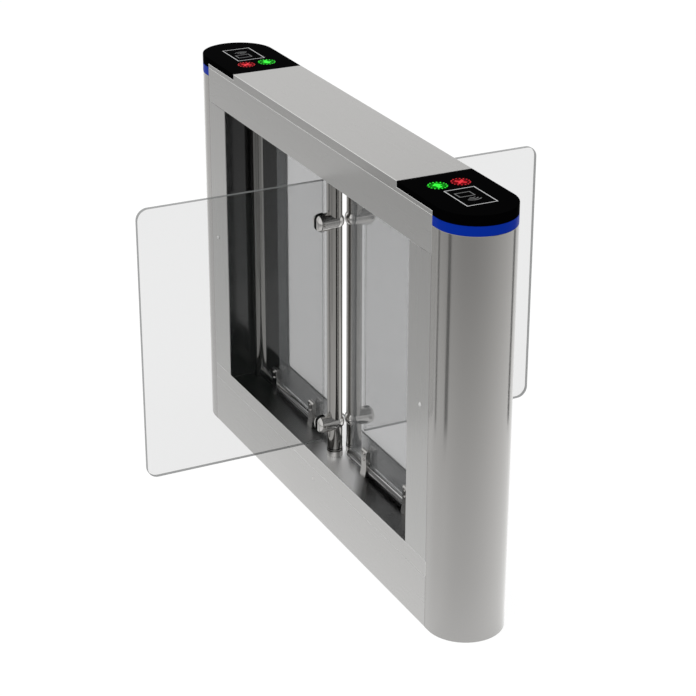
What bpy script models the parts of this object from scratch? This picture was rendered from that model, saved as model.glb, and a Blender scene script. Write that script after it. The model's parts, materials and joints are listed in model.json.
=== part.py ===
"""A swing barrier gate: a narrow steel case with rounded ends, and two glass leaves that swing in its window.

Metres, +Z up. X runs along the case, its near end at +X, and Y across it, its front face at -Y.
The origin is the middle of the base, on the ground. The gate is the same again when it is turned half round
about Z, except that the back window is a little larger than the front one.
"""

import math

import bmesh
import bpy

# The case, over everything but the leaves
case_length = 1.421
case_height = 1.020
case_width = 0.185
column_straight = 0.018  # flat part of a column before its half round end
sheet = 0.002  # thickness of the steel sheets
seam_gap = 0.0006  # between two sheets that meet edge to edge
fit_gap = 0.0003  # between two pieces that rest against each other
overrun = 0.010  # how far a cutter runs past what it cuts

# The top
lid_thickness = 0.0242
rim_height = 0.010  # steel rim below the flat part of a display cover
cover_flat_length = 0.1607  # from the lid to the seam of the end column
cover_wall = 0.003
band_height = 0.0222
band_wall = 0.004
lamp_radius = 0.023
lamp_depth = 0.009
lamp_setback = 0.0650  # from the lid to the middle of a lamp
lamp_offset = 0.028  # to each side of the middle
reader_length = 0.086
reader_width = 0.058
reader_depth = 0.012
reader_setback = 0.008  # from the seam of the end column to the middle of the reader

# The window and the sheets round it
fascia_height = 0.0883
post_width = 0.098
back_post_width = 0.076
sill_top = 0.150
sill_thickness = 0.003
front_lip = 0.021  # how far the strip below the window stands above the sill
back_lip = 0.003
strip_drop = 0.019  # how far it hangs below the sill
kick_clearance = 0.001  # between a kick panel and the ground
header_rise = 0.0015  # from the window's upper edge to the header
header_thickness = 0.003
wall_setback = 0.070  # from the seam of the end column to the end wall of the window

# The fixed glass and what holds it
pane_thickness = 0.008
pane_start = 0.045
pane_end_gap = 0.150  # from the pane to the end wall
rail_radius = 0.012
rail_wall = 0.0015
rail_start = 0.038
rail_rise = 0.0035  # from the sill to the underside of the rail
clip_length = 0.026
clip_foot = 0.0075  # how far a clip's foot reaches out past the rail
clip_cheek = 0.0035  # how far its upper part does
clip_shoulder = 0.004  # from the top of the rail down to where the foot's slope ends
clip_grip = 0.0442  # how far a clip reaches up the pane
inner_clip_offsets = {"near": 0.093, "far": 0.120}  # from the inner edge of the pane
outer_clip_offsets = {"near": -0.027, "far": 0.008}  # from its outer edge
wall_tube_radius = 0.017
wall_tube_wall = 0.0015

# The leaves
pivot_offset = 0.0265  # from the middle to each leaf's axis, along Y
shaft_radius = 0.019
journal_radius = 0.010
journal_slack = 0.0006  # round a journal in its bearing
sill_hole_slack = 0.002  # round a journal where it passes the sill and the header
groove_width = 0.0016
groove_depth = 0.0012
groove_heights = (0.0100, 0.0210)  # of the two grooves above the sill
leaf_thickness = 0.010
leaf_start = 0.029  # from the axis to the inner edge
leaf_end_gap = 0.0045  # to the post when the leaf is folded into the window
leaf_sill_gap = 0.047
leaf_top_gap = 0.030  # to the upper edge of the window
leaf_corner = 0.028
clamp_wall = 0.003  # of a clamp round its shaft
clamp_reach = 0.0505  # from the axis to the outer end
clamp_gap = 0.0025  # from the round inner end to the middle of the case
clamp_round = 0.012  # radius of the outer end's edge
upper_clamp_drop = 0.1065  # from the upper edge of the leaf
lower_clamp_rise = 0.044  # from the lower edge of the leaf

# What stands inside
base_thickness = 0.006
anchor_radius = 0.007
anchor_setout = 0.020  # from the seam of the end column
anchor_offset = 0.045
frame_half_length = 0.040
frame_half_width = 0.056
frame_thickness = 0.004
bearing_thickness = 0.020
bearing_setback = 0.002  # from the ends of the drive frame
journal_end_gap = 0.003  # from the upper end of a journal to the top of its bearing
gearbox_gap = 0.0015  # from a gearbox to the middle of the case
gearbox_height = 0.042
motor_step = 0.003  # how much slimmer a motor is than its gearbox, all round
drive_clearance = 0.0047  # from a gearbox to the bearing above it
drive_bore_depth = 0.016
drive_end_gap = 0.001
control_box_size = (0.080, 0.120, 0.260)
control_box_setout = 0.005  # from the seam of the end column
power_supply_size = (0.060, 0.100, 0.160)

# Small pieces in the sheets
eye_setback = 0.0375  # from the seam of the end column
eye_height_share = 0.507  # of the height of the window
eye_radius = 0.0035
eye_flange_radius = 0.0060
eye_flange_thickness = 0.004
lock_place = 0.012
lock_drop = 0.028  # from the upper edge of the kick panel
lock_radius = 0.0050
lock_body_radius = 0.0075
lock_depth = 0.012
cam_thickness = 0.0025
cam_width = 0.008
cam_length = 0.026  # from the lock's axis to the end of its cam

# How finely round shapes are divided
arc_steps = 24
turn_steps = 24
lamp_steps = 36
corner_steps = 6
merge_distance = 1e-6  # of the points that a full turn leaves on its axis

# Places along the case that follow
half_width = case_width / 2
inner_half_width = half_width - sheet - fit_gap
column_centre = case_length / 2 - half_width
flat_half_length = column_centre - column_straight
panel_half_length = flat_half_length - seam_gap / 2
lid_half_length = flat_half_length - cover_flat_length
lamp_place = lid_half_length + lamp_setback
reader_place = flat_half_length - reader_setback
window_half_length = flat_half_length - post_width
back_window_half_length = flat_half_length - back_post_width
wall_place = flat_half_length - wall_setback
pane_end = wall_place - pane_end_gap
eye_place = flat_half_length - eye_setback
anchor_place = flat_half_length + anchor_setout
control_box_place = flat_half_length + control_box_setout
bearing_half_length = frame_half_length - bearing_setback

# Heights that follow
lid_base = case_height - lid_thickness
band_base = lid_base - band_height
window_top = lid_base - fascia_height
window_bottom = sill_top + front_lip
back_window_bottom = sill_top + back_lip
strip_bottom = sill_top - strip_drop
eye_height = window_bottom + eye_height_share * (window_top - window_bottom)
lock_height = strip_bottom - lock_drop
sill_bottom = sill_top - sill_thickness
header_bottom = window_top + header_rise
header_top = header_bottom + header_thickness
bearing_top = sill_bottom - fit_gap
bearing_bottom = bearing_top - bearing_thickness
upper_bearing_bottom = header_top + fit_gap
upper_bearing_top = upper_bearing_bottom + bearing_thickness
frame_bottom = base_thickness + fit_gap
motor_bottom = frame_bottom + frame_thickness + fit_gap
motor_top = bearing_bottom - drive_clearance
rail_height = sill_top + rail_rise + rail_radius
pane_bottom = rail_height + rail_radius + fit_gap
leaf_bottom = sill_top + leaf_sill_gap
leaf_top = window_top - leaf_top_gap

# Round pieces that follow
leaf_reach = window_half_length - leaf_end_gap
clamp_radius = shaft_radius + clamp_wall
clamp_dome_centre = pivot_offset - clamp_gap - clamp_radius
gearbox_radius = pivot_offset - gearbox_gap
motor_radius = gearbox_radius - motor_step


def clear_scene():
    for obj in list(bpy.data.objects):
        bpy.data.objects.remove(obj, do_unlink=True)


def material(name, colour, roughness, metallic, alpha=1.0, glow=0.0):
    made = bpy.data.materials.new(name)
    made.use_nodes = True
    shader = made.node_tree.nodes["Principled BSDF"]
    shader.inputs["Base Color"].default_value = (*colour, 1.0)
    shader.inputs["Roughness"].default_value = roughness
    shader.inputs["Metallic"].default_value = metallic
    shader.inputs["Alpha"].default_value = alpha
    shader.inputs["Emission Color"].default_value = (*colour, 1.0)
    shader.inputs["Emission Strength"].default_value = glow
    made.diffuse_color = (*colour, alpha)
    return made


def finished(name, bm, look, parent=None, smooth=False):
    """Makes the object of a closed mesh, with its faces pointing out."""
    bmesh.ops.recalc_face_normals(bm, faces=bm.faces)
    mesh = bpy.data.meshes.new(name)
    bm.to_mesh(mesh)
    bm.free()
    mesh.materials.append(look)
    if smooth:
        mesh.shade_smooth()
        mesh.set_sharp_from_angle(angle=math.radians(35))
    obj = bpy.data.objects.new(name, mesh)
    bpy.context.scene.collection.objects.link(obj)
    obj.parent = parent
    return obj


def empty(name, location=(0, 0, 0), half_turn=False):
    obj = bpy.data.objects.new(name, None)
    bpy.context.scene.collection.objects.link(obj)
    obj.location = location
    obj.rotation_euler[2] = math.pi if half_turn else 0
    return obj


def prism(outline, low, high, along="Z"):
    """A straight bar with this outline, from low to high along one axis."""
    place = {
        "X": lambda u, v, w: (w, u, v),
        "Y": lambda u, v, w: (u, w, v),
        "Z": lambda u, v, w: (u, v, w),
    }[along]
    bm = bmesh.new()
    face = bm.faces.new([bm.verts.new(place(u, v, low)) for u, v in outline])
    moved = bmesh.ops.extrude_face_region(bm, geom=[face])["geom"]
    ends = [item for item in moved if isinstance(item, bmesh.types.BMVert)]
    bmesh.ops.translate(bm, verts=ends, vec=place(0, 0, high - low))
    return bm


def block(low, high):
    outline = [(low[0], low[1]), (high[0], low[1]), (high[0], high[1]), (low[0], high[1])]
    return prism(outline, low[2], high[2])


def turned(profile, centre=(0, 0, 0), axis=(0, 0, 1), steps=turn_steps):
    """A round piece: (radius, height) pairs turned about an axis through centre.

    A profile that starts and ends on the axis is solid, and any other closes on itself, as a ring does.
    """
    bm = bmesh.new()
    across = (1, 0, 0) if axis[2] or axis[1] else (0, 1, 0)
    points = [
        bm.verts.new([centre[i] + across[i] * radius + axis[i] * height for i in range(3)])
        for radius, height in profile
    ]
    pairs = list(zip(points, points[1:]))
    if profile[0][0] > 0:
        pairs.append((points[-1], points[0]))
    edges = [bm.edges.new(pair) for pair in pairs]
    bmesh.ops.spin(
        bm,
        geom=points + edges,
        cent=centre,
        axis=axis,
        angle=2 * math.pi,
        steps=steps,
        use_merge=True,
    )
    bmesh.ops.remove_doubles(bm, verts=bm.verts, dist=merge_distance)
    return bm


def rod(radius, low, high, centre=(0, 0, 0), axis=(0, 0, 1), steps=turn_steps):
    return turned([(0, low), (radius, low), (radius, high), (0, high)], centre, axis, steps)


def tube(radius, wall, low, high, centre=(0, 0, 0), axis=(0, 0, 1)):
    inner = radius - wall
    return turned([(radius, low), (radius, high), (inner, high), (inner, low)], centre, axis)


def combine(obj, bm, operation):
    """Joins a hidden helper to an object, or cuts it out of the object."""
    count = len(obj.modifiers)
    helper = finished(f"{obj.name}.{operation.lower()}.{count}", bm, obj.data.materials[0])
    helper.parent = obj.parent
    helper.hide_render = True
    helper.display_type = "WIRE"
    change = obj.modifiers.new(f"{operation.lower()}_{count}", "BOOLEAN")
    change.operation = operation
    change.solver = "EXACT"
    change.object = helper


def cut(obj, bm):
    combine(obj, bm, "DIFFERENCE")


def join(obj, bm):
    combine(obj, bm, "UNION")


def arc(centre, radius, start, end, steps):
    """Points on an arc, both ends included, with its angles in degrees."""
    angles = [math.radians(start + (end - start) * i / steps) for i in range(steps + 1)]
    return [(centre[0] + radius * math.cos(a), centre[1] + radius * math.sin(a)) for a in angles]


def end_line(inset):
    """The line of a rounded end, from its front seam round to its back seam."""
    radius = half_width - inset
    start = flat_half_length + seam_gap / 2
    return [(start, -radius)] + arc((column_centre, 0), radius, -90, 90, arc_steps) + [(start, radius)]


def end_shell(wall, low, high):
    return prism(end_line(0) + end_line(wall)[::-1], low, high)


def build_base(steel):
    """The floor plate that everything stands on, with four holes for ground anchors."""
    rounded = end_line(sheet + fit_gap)[1:-1]
    outline = rounded + [(-x, -y) for x, y in rounded]
    plate = finished("base_plate", prism(outline, 0, base_thickness), steel)
    for x in (anchor_place, -anchor_place):
        for y in (anchor_offset, -anchor_offset):
            cut(plate, rod(anchor_radius, -overrun, base_thickness + overrun, (x, y, 0)))


def build_column(end, turn, looks):
    """A rounded steel end column and the light band above it."""
    finished(f"column_{end}", end_shell(sheet, 0, band_base - fit_gap), looks["brushed"], turn, True)
    band = end_shell(band_wall, band_base, lid_base - fit_gap)
    finished(f"light_band_{end}", band, looks["blue"], turn, True)


def build_display_cover(end, lift, looks):
    """The black cover over one end, open below, with its card reader and two signal lamps."""
    start = lid_half_length + seam_gap / 2
    flat = block(
        (start, -half_width, lid_base + rim_height + fit_gap),
        (column_centre, half_width, case_height),
    )
    cover = finished(f"display_cover_{end}", flat, looks["black"], lift, True)
    join(cover, prism(end_line(0), lid_base, case_height))
    hollow = [(start + cover_wall, half_width - cover_wall), (start + cover_wall, cover_wall - half_width)]
    hollow += end_line(cover_wall)[1:-1]
    cut(cover, prism(hollow, lid_base - overrun, case_height - cover_wall))
    for kind, side in (("go_lamp", -1), ("stop_lamp", 1)):
        centre = (lamp_place, side * lamp_offset, 0)
        low, high = case_height - cover_wall - overrun, case_height + overrun
        cut(cover, rod(lamp_radius + fit_gap, low, high, centre, steps=lamp_steps))
        lamp = rod(lamp_radius, case_height - lamp_depth, case_height, centre, steps=lamp_steps)
        finished(f"{kind}_{end}", lamp, looks[kind], lift, True)
    reader_top = case_height - cover_wall - fit_gap
    reader = block(
        (reader_place - reader_length / 2, -reader_width / 2, reader_top - reader_depth),
        (reader_place + reader_length / 2, reader_width / 2, reader_top),
    )
    finished(f"card_reader_{end}", reader, looks["plastic"], lift)


def build_lid(lift, steel):
    """The folded top: a flat plate between the display covers, with a low rim that runs on below them."""
    long, short = panel_half_length, lid_half_length - seam_gap / 2
    rim_top = lid_base + rim_height
    side = [
        (-long, lid_base),
        (long, lid_base),
        (long, rim_top),
        (short, rim_top),
        (short, case_height),
        (-short, case_height),
        (-short, rim_top),
        (-long, rim_top),
    ]
    lid = finished("top_lid", prism(side, -half_width, sheet - half_width, "Y"), steel, lift)
    join(lid, prism(side, half_width - sheet, half_width, "Y"))
    join(
        lid,
        block(
            (-short, -half_width + sheet / 2, case_height - sheet),
            (short, half_width - sheet / 2, case_height),
        ),
    )


def build_face(side, turn, window_half, bottom, looks):
    """The sheets of one long face: fascia above the window, a post at each end of it, and the strip below."""
    outer, inner = -half_width, sheet - half_width
    fascia = block(
        (-panel_half_length, outer, window_top),
        (panel_half_length, inner, lid_base - fit_gap),
    )
    finished(f"{side}_fascia", fascia, looks["brushed"], turn)
    strip = block(
        (-panel_half_length, outer, strip_bottom),
        (panel_half_length, inner, bottom),
    )
    finished(f"{side}_sill_strip", strip, looks["brushed"], turn)
    ends = ("near", "far") if side == "front" else ("far", "near")
    for end, sign in zip(ends, (1, -1)):
        across = sorted((sign * window_half, sign * panel_half_length))
        post = block(
            (across[0], outer, bottom + seam_gap),
            (across[1], inner, window_top - seam_gap),
        )
        post = finished(f"{side}_post_{end}", post, looks["brushed"], turn)
        centre = (sign * eye_place, 0, eye_height)
        hole = rod(eye_radius + fit_gap, outer - overrun, inner + overrun, centre, (0, 1, 0))
        cut(post, hole)
        profile = [
            (0, outer),
            (eye_radius, outer),
            (eye_radius, inner + fit_gap),
            (eye_flange_radius, inner + fit_gap),
            (eye_flange_radius, inner + eye_flange_thickness),
            (0, inner + eye_flange_thickness),
        ]
        eye = turned(profile, centre, (0, 1, 0), arc_steps // 2)
        finished(f"sensor_eye_{side}_{end}", eye, looks["plastic"], turn, True)


def build_kick_panel(side, turn, looks):
    """The lift-off panel over the drive, with its key lock, whose cam lies along the panel when unlocked."""
    outer, inner = -half_width, sheet - half_width
    panel = block(
        (-panel_half_length, outer, kick_clearance),
        (panel_half_length, inner, strip_bottom - seam_gap),
    )
    panel = finished(f"{side}_kick_panel", panel, looks["brushed"], turn)
    centre = (lock_place, 0, lock_height)
    cut(panel, rod(lock_radius + fit_gap, outer - overrun, inner + overrun, centre, (0, 1, 0)))
    profile = [
        (0, outer),
        (lock_radius, outer),
        (lock_radius, inner + fit_gap),
        (lock_body_radius, inner + fit_gap),
        (lock_body_radius, outer + lock_depth),
        (0, outer + lock_depth),
    ]
    axis = empty(f"{side}_lock_axis", (lock_place, 0, lock_height))
    axis.parent = turn
    lock = finished(
        f"{side}_panel_lock", turned(profile, (0, 0, 0), (0, 1, 0)), looks["polished"], axis, True
    )
    cam_outer = outer + lock_depth - 2 * cam_thickness
    join(
        lock,
        block((0, cam_outer, -cam_width / 2), (cam_length, cam_outer + cam_thickness, cam_width / 2)),
    )


def build_window(looks):
    """The sill and the header between the two faces, with a hole in each where a leaf's shaft passes."""
    length = wall_place + sheet + fit_gap
    for name, low, high in (
        ("window_sill", sill_bottom, sill_top),
        ("window_header", header_bottom, header_top),
    ):
        plate = block((-length, -inner_half_width, low), (length, inner_half_width, high))
        plate = finished(name, plate, looks["polished"])
        for y in (-pivot_offset, pivot_offset):
            hole = rod(journal_radius + sill_hole_slack, low - overrun, high + overrun, (0, y, 0))
            cut(plate, hole)


def build_window_end(end, turn, looks):
    """The end wall of the window, with the upright tube that stands against it."""
    low, high = sill_top + fit_gap, header_bottom - fit_gap
    wall = block(
        (wall_place, -inner_half_width, low),
        (wall_place + sheet, inner_half_width, high),
    )
    finished(f"window_wall_{end}", wall, looks["polished"], turn)
    centre = (wall_place - fit_gap - wall_tube_radius, 0, 0)
    upright = tube(wall_tube_radius, wall_tube_wall, low, high, centre)
    finished(f"wall_tube_{end}", upright, looks["polished"], turn, True)


def clip_outline():
    """A clip from its end: a foot that slopes in over the rail, and two cheeks that hold the pane."""
    slot = pane_thickness / 2 + fit_gap
    cheek = rail_radius + clip_cheek
    radius = (cheek - slot) / 2
    shoulder = rail_height + rail_radius - clip_shoulder
    top = arc((slot + radius, pane_bottom + clip_grip - radius), radius, 0, 180, corner_steps)
    side = [(rail_radius + clip_foot, sill_top + fit_gap), (cheek, shoulder)] + top + [(slot, rail_height)]
    return side + [(-y, z) for y, z in reversed(side)]


def build_pane(end, turn, looks):
    """A fixed pane on its rail, held by two clips that grip both."""
    half = pane_thickness / 2
    pane = block((pane_start, -half, pane_bottom), (pane_end, half, header_bottom - fit_gap))
    finished(f"pane_{end}", pane, looks["glass"], turn)
    rail_end = wall_place - 2 * (fit_gap + wall_tube_radius)
    centre = (0, 0, rail_height)
    rail = tube(rail_radius, rail_wall, rail_start, rail_end, centre, (1, 0, 0))
    finished(f"pane_rail_{end}", rail, looks["polished"], turn, True)
    for name, place in (
        ("inner", pane_start + inner_clip_offsets[end]),
        ("outer", pane_end + outer_clip_offsets[end]),
    ):
        low, high = place - clip_length / 2, place + clip_length / 2
        clip = prism(clip_outline(), low, high, "X")
        clip = finished(f"pane_clip_{end}_{name}", clip, looks["polished"], turn, True)
        cut(clip, rod(rail_radius + fit_gap, low - overrun, high + overrun, centre, (1, 0, 0)))


def leaf_outline():
    """The leaf's outline in the plane of Y and Z, with its two outer corners rounded."""
    outer = leaf_corner - leaf_reach
    lower = arc((outer, leaf_bottom + leaf_corner), leaf_corner, 180, 270, corner_steps)
    upper = arc((outer, leaf_top - leaf_corner), leaf_corner, 90, 180, corner_steps)
    return lower + [(-leaf_start, leaf_bottom), (-leaf_start, leaf_top)] + upper


def shaft_profile():
    """The shaft, thin where it runs in its bearings, with two grooves above the sill."""
    low, high = sill_top + fit_gap, header_bottom - fit_gap
    profile = [
        (0, motor_top - drive_bore_depth + drive_end_gap),
        (journal_radius, motor_top - drive_bore_depth + drive_end_gap),
        (journal_radius, low),
        (shaft_radius, low),
    ]
    for height in groove_heights:
        groove = sill_top + height
        profile += [
            (shaft_radius, groove - groove_width / 2),
            (shaft_radius - groove_depth, groove - groove_width / 2),
            (shaft_radius - groove_depth, groove + groove_width / 2),
            (shaft_radius, groove + groove_width / 2),
        ]
    return profile + [
        (shaft_radius, high),
        (journal_radius, high),
        (journal_radius, upper_bearing_top - journal_end_gap),
        (0, upper_bearing_top - journal_end_gap),
    ]


def clamp_profile():
    """A clamp from its domed inner end to its rounded outer end."""
    dome = arc((0, -clamp_dome_centre), clamp_radius, -90, 0, corner_steps)
    edge_centre = (clamp_radius - clamp_round, clamp_reach - clamp_round)
    outer = arc(edge_centre, clamp_round, 0, 90, corner_steps)
    return [(0, dome[0][1])] + dome[1:] + outer + [(0, clamp_reach)]


def build_leaf(side, axis, looks):
    """One glass leaf on its shaft, which two clamps join. It is built on its axis, pointing to -Y."""
    finished(f"shaft_{side}", turned(shaft_profile()), looks["polished"], axis, True)
    half = leaf_thickness / 2
    finished(f"leaf_{side}", prism(leaf_outline(), -half, half, "X"), looks["clear"], axis, True)
    for name, height in (("upper", leaf_top - upper_clamp_drop), ("lower", leaf_bottom + lower_clamp_rise)):
        clamp = finished(
            f"clamp_{side}_{name}",
            turned(clamp_profile(), (0, 0, height), (0, -1, 0)),
            looks["polished"],
            axis,
            True,
        )
        low, high = height - clamp_radius - overrun, height + clamp_radius + overrun
        cut(clamp, rod(shaft_radius + fit_gap, low, high))
        slot = half + fit_gap
        cut(clamp, block((-slot, -clamp_reach - overrun, low), (slot, fit_gap - leaf_start, high)))


def build_drive(looks):
    """The frame that carries the lower bearings, the two motors in it, and the upper bearings."""
    frame = finished(
        "drive_frame",
        block(
            (-frame_half_length, -frame_half_width, frame_bottom),
            (frame_half_length, frame_half_width, frame_bottom + frame_thickness),
        ),
        looks["steel"],
    )
    for sign in (1, -1):
        across = sorted((sign * frame_half_length, sign * (frame_half_length - frame_thickness)))
        join(
            frame,
            block(
                (across[0], -frame_half_width, frame_bottom),
                (across[1], frame_half_width, bearing_bottom - fit_gap),
            ),
        )
    for name, low, high in (
        ("lower_bearing_block", bearing_bottom, bearing_top),
        ("upper_bearing_block", upper_bearing_bottom, upper_bearing_top),
    ):
        bearing = finished(
            name,
            block(
                (-bearing_half_length, -frame_half_width, low),
                (bearing_half_length, frame_half_width, high),
            ),
            looks["steel"],
        )
        for y in (-pivot_offset, pivot_offset):
            cut(bearing, rod(journal_radius + journal_slack, low - overrun, high + overrun, (0, y, 0)))
    gearbox_bottom = motor_top - gearbox_height
    bore = journal_radius + journal_slack
    profile = [
        (0, motor_bottom),
        (motor_radius, motor_bottom),
        (motor_radius, gearbox_bottom),
        (gearbox_radius, gearbox_bottom),
        (gearbox_radius, motor_top),
        (bore, motor_top),
        (bore, motor_top - drive_bore_depth),
        (0, motor_top - drive_bore_depth),
    ]
    for side, y in (("front", -pivot_offset), ("back", pivot_offset)):
        finished(f"motor_{side}", turned(profile, (0, y, 0)), looks["motor"], None, True)


def build_electrics(looks):
    """The control box in the near column and the power supply in the far one, both on the base plate."""
    low = base_thickness + fit_gap
    for name, size, place in (
        ("control_box", control_box_size, control_box_place),
        ("power_supply", power_supply_size, -flat_half_length),
    ):
        box = block(
            (place - size[0] / 2, -size[1] / 2, low),
            (place + size[0] / 2, size[1] / 2, low + size[2]),
        )
        finished(name, box, looks["plastic"])


def build():
    clear_scene()
    looks = {
        "brushed": material("brushed_steel", (0.42, 0.41, 0.40), 0.32, 1.0),
        "polished": material("polished_steel", (0.50, 0.49, 0.48), 0.12, 1.0),
        "steel": material("plain_steel", (0.35, 0.35, 0.36), 0.45, 1.0),
        "motor": material("motor_black", (0.03, 0.03, 0.035), 0.5, 0.2),
        "plastic": material("grey_plastic", (0.06, 0.06, 0.065), 0.4, 0.0),
        "black": material("gloss_black", (0.004, 0.004, 0.004), 0.06, 0.0),
        "blue": material("blue_light", (0.005, 0.04, 0.36), 0.3, 0.0, glow=0.2),
        "clear": material("clear_glass", (0.82, 0.86, 0.84), 0.03, 0.0, alpha=0.2),
        "glass": material("grey_glass", (0.45, 0.47, 0.47), 0.03, 0.0, alpha=0.4),
        "go_lamp": material("green_light", (0.01, 0.70, 0.03), 0.3, 0.0, glow=0.6),
        "stop_lamp": material("red_light", (0.70, 0.01, 0.015), 0.3, 0.0, glow=0.6),
    }
    build_base(looks["steel"])
    build_window(looks)
    build_drive(looks)
    build_electrics(looks)
    build_lid(empty("lid_lift"), looks["brushed"])
    for end, half_turn in (("near", False), ("far", True)):
        turn = empty(f"{end}_end", half_turn=half_turn)
        build_column(end, turn, looks)
        build_window_end(end, turn, looks)
        build_pane(end, turn, looks)
        build_display_cover(end, empty(f"{end}_cover_lift", half_turn=half_turn), looks)
    for side, half_turn, half_length, bottom in (
        ("front", False, window_half_length, window_bottom),
        ("back", True, back_window_half_length, back_window_bottom),
    ):
        turn = empty(f"{side}_face", half_turn=half_turn)
        build_face(side, turn, half_length, bottom, looks)
        build_kick_panel(side, empty(f"{side}_panel_slide", half_turn=half_turn), looks)
        pivot = (0, pivot_offset if half_turn else -pivot_offset, 0)
        build_leaf(side, empty(f"{side}_leaf_axis", pivot, half_turn), looks)


build()
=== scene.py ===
# %% [markdown]
# # A swing barrier gate in steel, chrome and glass
#
# The CAD model gives every solid of the gate its size and its place. This lesson dresses it: each solid gets a finish
# made of shader nodes, sheets get the soft folds that catch the light, and the small things that make it look real
# are added, such as screws, gaskets, lamp symbols and the ground edges of the glass. Everything is in metres:
# X runs along the case with its near end at +X, Y across it with its front face at -Y, and Z is up from the ground.

# %% Load the gate
import json
import math

import bmesh
import bpy
from mathutils import Matrix, Vector

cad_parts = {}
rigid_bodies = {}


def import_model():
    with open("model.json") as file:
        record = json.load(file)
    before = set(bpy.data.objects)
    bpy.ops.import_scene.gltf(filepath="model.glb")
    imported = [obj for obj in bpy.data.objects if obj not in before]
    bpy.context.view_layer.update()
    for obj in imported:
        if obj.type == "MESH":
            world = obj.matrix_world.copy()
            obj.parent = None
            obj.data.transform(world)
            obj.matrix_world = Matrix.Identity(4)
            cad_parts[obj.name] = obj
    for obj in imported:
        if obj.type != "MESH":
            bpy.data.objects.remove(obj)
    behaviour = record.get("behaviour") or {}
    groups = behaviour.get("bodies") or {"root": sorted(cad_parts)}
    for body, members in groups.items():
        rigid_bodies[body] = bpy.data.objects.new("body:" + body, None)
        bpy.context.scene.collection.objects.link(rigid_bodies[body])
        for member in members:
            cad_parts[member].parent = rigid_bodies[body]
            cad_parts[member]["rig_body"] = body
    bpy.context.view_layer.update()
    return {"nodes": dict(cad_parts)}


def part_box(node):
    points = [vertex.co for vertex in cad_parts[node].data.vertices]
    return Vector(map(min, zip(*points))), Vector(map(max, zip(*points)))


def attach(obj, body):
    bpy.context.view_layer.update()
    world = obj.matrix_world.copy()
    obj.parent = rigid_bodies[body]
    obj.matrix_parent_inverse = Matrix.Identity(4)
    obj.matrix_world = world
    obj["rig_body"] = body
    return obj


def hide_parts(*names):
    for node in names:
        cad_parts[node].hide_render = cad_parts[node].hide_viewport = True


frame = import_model()
solids = frame["nodes"]
ENDS = ("near", "far")
SIDES = ("front", "back")
LEVELS = ("upper", "lower")

# %% [markdown]
# ## The camera
#
# A photograph is matched first by its camera, because every other comparison depends on it. This one stands high
# to the right of the near end, about four and a half metres away, with a long lens, which is why the edges of the
# case hardly run together. The three directions below are the camera's own right, up and forward.

# %% Camera
SENSOR_WIDTH = 36.0
LENS = 106.135
CAMERA_PLACE = (4.10541, -2.01814, 2.48301)
camera_data = bpy.data.cameras.new("photo_camera")
camera_data.sensor_fit = "HORIZONTAL"
camera_data.sensor_width = SENSOR_WIDTH
camera_data.lens = LENS
camera = bpy.data.objects.new("photo_camera", camera_data)
right = Vector((0.44231, 0.89686, 0.00142))
upward = Vector((-0.36714, 0.17962, 0.91266))
forward = Vector((-0.81827, 0.40419, -0.40872))
turn = Matrix((right, upward, -forward)).transposed().to_4x4()
camera.matrix_world = Matrix.Translation(CAMERA_PLACE) @ turn
bpy.context.scene.collection.objects.link(camera)
bpy.context.scene.camera = camera
bpy.context.scene.view_settings.view_transform = "Standard"
print("camera at", tuple(round(v, 2) for v in camera.matrix_world.translation))

# %% [markdown]
# ## Node helpers
#
# Shader graphs read best as a chain of small steps, so two short helpers add a node and join two sockets. A third
# gives the pattern that all the steels share: noise in the piece's own coordinates, squeezed along one axis, so that
# it becomes the fine parallel scratches of a brushed sheet.

# %% Helpers for materials


def add_node(tree, kind, **settings):
    made = tree.nodes.new(kind)
    for key, value in settings.items():
        setattr(made, key, value)
    return made


def wire(tree, source, target):
    tree.links.new(source, target)


def noise_chain(tree, scale, detail=3.0):
    """Noise on Object coordinates, stretched by the three scale factors."""
    place = add_node(tree, "ShaderNodeTexCoord")
    squeeze = add_node(tree, "ShaderNodeMapping")
    squeeze.inputs["Scale"].default_value = scale
    noise = add_node(tree, "ShaderNodeTexNoise")
    noise.inputs["Scale"].default_value = 1.0
    noise.inputs["Detail"].default_value = detail
    wire(tree, place.outputs["Object"], squeeze.inputs["Vector"])
    wire(tree, squeeze.outputs["Vector"], noise.inputs["Vector"])
    return noise.outputs["Fac"]


def span(tree, value, low, high, out_low, out_high):
    """Maps a value from one range to another."""
    made = add_node(tree, "ShaderNodeMapRange")
    made.inputs["From Min"].default_value = low
    made.inputs["From Max"].default_value = high
    made.inputs["To Min"].default_value = out_low
    made.inputs["To Max"].default_value = out_high
    wire(tree, value, made.inputs["Value"])
    return made.outputs["Result"]


def blended(tree, factor, first, second):
    """A colour between two colours."""
    made = add_node(tree, "ShaderNodeMix", data_type="RGBA")
    made.inputs["A"].default_value = (*first, 1.0)
    made.inputs["B"].default_value = (*second, 1.0)
    wire(tree, factor, made.inputs["Factor"])
    return made.outputs["Result"]


def shaded(tree, tone, streaks, depth):
    """A tone that streaks darken by up to the given depth."""
    made = add_node(tree, "ShaderNodeMix", data_type="RGBA", blend_type="MULTIPLY")
    made.inputs["Factor"].default_value = 1.0
    wire(tree, tone, made.inputs["A"])
    wire(tree, blended(tree, streaks, (1.0 - depth,) * 3, (1.0, 1.0, 1.0)), made.inputs["B"])
    return made.outputs["Result"]


def tone_ramp(tree, value, tones):
    """Greys at given places between 0 and 1, with straight runs between them."""
    made = add_node(tree, "ShaderNodeValToRGB")
    stops = made.color_ramp.elements
    while len(stops) < len(tones):
        stops.new(0.5)
    for stop, (place, tone) in zip(stops, tones):
        stop.position = place
        stop.color = (tone, tone, tone, 1.0)
    wire(tree, value, made.inputs["Fac"])
    return made.outputs["Color"]


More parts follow.
